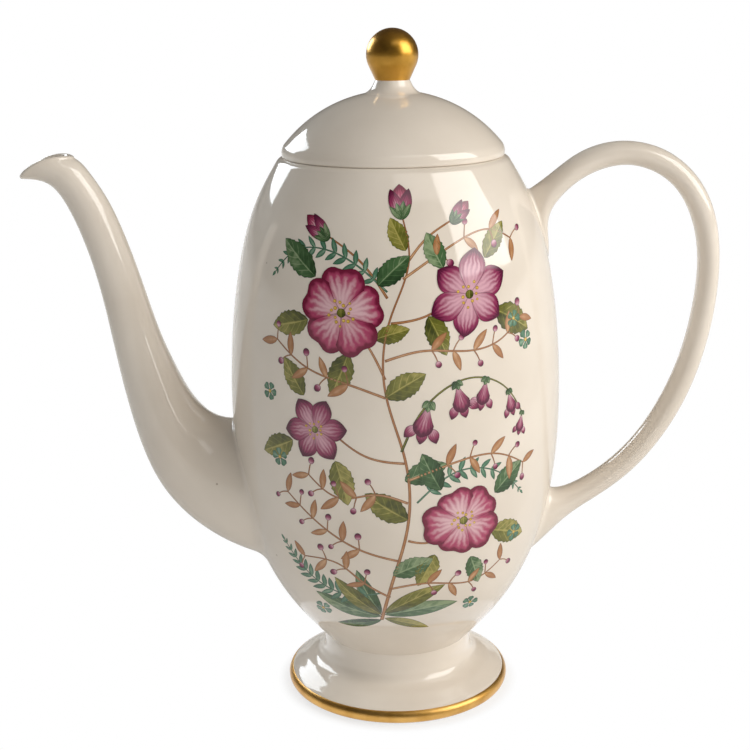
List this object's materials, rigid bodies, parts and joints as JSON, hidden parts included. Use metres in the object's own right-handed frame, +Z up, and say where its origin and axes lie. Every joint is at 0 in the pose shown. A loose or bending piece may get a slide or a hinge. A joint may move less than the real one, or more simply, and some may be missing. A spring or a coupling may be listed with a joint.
{
  "type": "coffee pot",
  "caption": "Tall egg-shaped china coffee pot on a flared gilt-edged foot, with a swan-neck spout, loop handle and lift-off domed lid with a gilt ball knob.",
  "frame": {"origin": "centre of the foot's standing ring, on the axis of the body", "axes": "+Z up along the body's axis, -X towards the spout, +X towards the handle, the printed front faces -Y"},
  "size_m": [0.2446, 0.1172, 0.2394],
  "materials": {
    "body_glaze": "glossy clear glaze on ivory-white china, with a flower print on the front and back",
    "shoulder_glaze": "glossy clear glaze on ivory-white china, with a flower print on the front and back",
    "foot_glaze": "glossy clear glaze, bare biscuit on the standing ring",
    "foot_gold": "burnished gold lustre fired over the glaze",
    "spout_glaze": "glossy clear glaze",
    "handle_glaze": "glossy clear glaze",
    "lid_glaze": "glossy clear glaze",
    "flange_glaze": "thin glaze, wiped at the lower edge",
    "knob_glaze": "glossy clear glaze",
    "knob_gold": "burnished gold lustre fired over the glaze"
  },
  "bodies": {
    "pot": {"body_bowl": "body_glaze", "body_shoulder": "shoulder_glaze", "pedestal_foot": "foot_glaze", "foot_gilding": "foot_gold", "spout": "spout_glaze", "handle": "handle_glaze"},
    "lid": {"lid_dome": "lid_glaze", "lid_flange": "flange_glaze", "knob": "knob_glaze", "knob_gilding": "knob_gold"}
  },
  "joints": [
    {"name": "lid_lift", "type": "slide", "parent": "pot", "child": "lid", "axis": [0, 0, 1], "range_m": [0, 0.1]}
  ]
}
